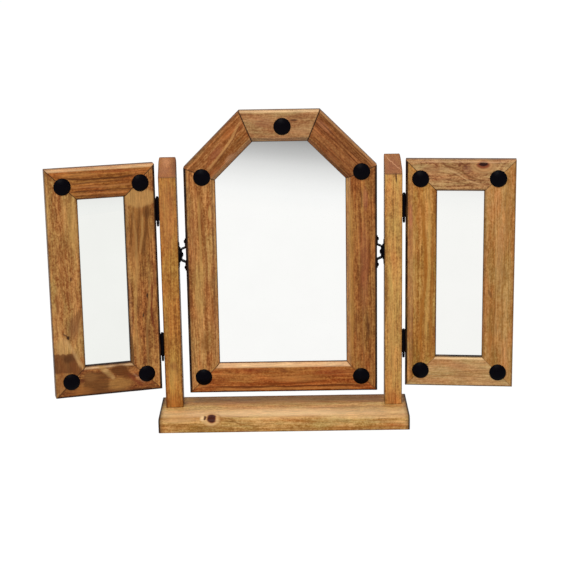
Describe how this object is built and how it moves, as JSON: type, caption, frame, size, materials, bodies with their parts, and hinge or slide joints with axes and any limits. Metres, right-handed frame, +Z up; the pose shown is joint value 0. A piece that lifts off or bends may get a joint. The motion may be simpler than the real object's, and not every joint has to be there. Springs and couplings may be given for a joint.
{
  "type": "trifold vanity mirror",
  "caption": "Free-standing wooden dressing-table mirror: a tilting centre mirror with a cut-corner arch between two posts on a plinth, and a hinged side mirror on each post.",
  "frame": {"origin": "centre of the plinth's flat underside, on the surface that the mirror stands on", "axes": "+Z up along the posts, +X to the viewer's right along the plinth, -Y towards the viewer in front of the glass"},
  "size_m": [0.7895, 0.12, 0.5425],
  "materials": {
    "waxed_pine": "satin",
    "stained_pine": "satin",
    "mirror_glass": "polished",
    "hardboard": "matte",
    "black_iron": "satin",
    "zinc_steel": "satin"
  },
  "bodies": {
    "stand": {"base_plinth": "waxed_pine", "left_post": "waxed_pine", "right_post": "waxed_pine", "post_fixing_screws": "zinc_steel", "post_hinge_screws": "black_iron", "left_pivot_plate": "black_iron", "right_pivot_plate": "black_iron", "pivot_plate_screws": "black_iron", "pivot_bolts": "black_iron", "pivot_nuts": "zinc_steel", "pivot_spring_washers": "black_iron", "left_upper_hinge_post_leaf": "black_iron", "left_upper_hinge_pin": "black_iron", "left_lower_hinge_post_leaf": "black_iron", "left_lower_hinge_pin": "black_iron", "right_upper_hinge_post_leaf": "black_iron", "right_upper_hinge_pin": "black_iron", "right_lower_hinge_post_leaf": "black_iron", "right_lower_hinge_pin": "black_iron"},
    "centre_mirror": {"centre_backboard": "hardboard", "centre_bottom_rail": "stained_pine", "centre_glazing_points": "zinc_steel", "centre_left_arch_rail": "stained_pine", "centre_left_stile": "stained_pine", "centre_mirror_glass": "mirror_glass", "centre_mitre_nails": "zinc_steel", "centre_right_arch_rail": "stained_pine", "centre_right_stile": "stained_pine", "centre_studs": "black_iron", "centre_top_rail": "stained_pine", "left_pivot_bracket": "black_iron", "right_pivot_bracket": "black_iron", "pivot_bracket_screws": "black_iron"},
    "left_wing": {"left_wing_outer_stile": "stained_pine", "left_wing_inner_stile": "stained_pine", "left_wing_top_rail": "stained_pine", "left_wing_bottom_rail": "stained_pine", "left_wing_mirror_glass": "mirror_glass", "left_wing_backboard": "hardboard", "left_wing_studs": "black_iron", "left_wing_mitre_nails": "zinc_steel", "left_wing_glazing_points": "zinc_steel", "left_upper_hinge_wing_leaf": "black_iron", "left_lower_hinge_wing_leaf": "black_iron", "left_wing_hinge_screws": "black_iron"},
    "right_wing": {"right_wing_outer_stile": "stained_pine", "right_wing_inner_stile": "stained_pine", "right_wing_top_rail": "stained_pine", "right_wing_bottom_rail": "stained_pine", "right_wing_mirror_glass": "mirror_glass", "right_wing_backboard": "hardboard", "right_wing_studs": "black_iron", "right_wing_mitre_nails": "zinc_steel", "right_wing_glazing_points": "zinc_steel", "right_upper_hinge_wing_leaf": "black_iron", "right_lower_hinge_wing_leaf": "black_iron", "right_wing_hinge_screws": "black_iron"}
  },
  "joints": [
    {"name": "mirror_tilt", "type": "hinge", "parent": "stand", "child": "centre_mirror", "pos_m": [0, 0.0165, 0.296], "axis": [1, 0, 0], "continuous": true},
    {"name": "left_wing_swing", "type": "hinge", "parent": "stand", "child": "left_wing", "pos_m": [-0.208, 0.0015, 0.2585], "axis": [0, 0, 1], "range_deg": [-20, 85]},
    {"name": "right_wing_swing", "type": "hinge", "parent": "stand", "child": "right_wing", "pos_m": [0.208, 0.0015, 0.2585], "axis": [0, 0, -1], "range_deg": [-11, 94]}
  ]
}
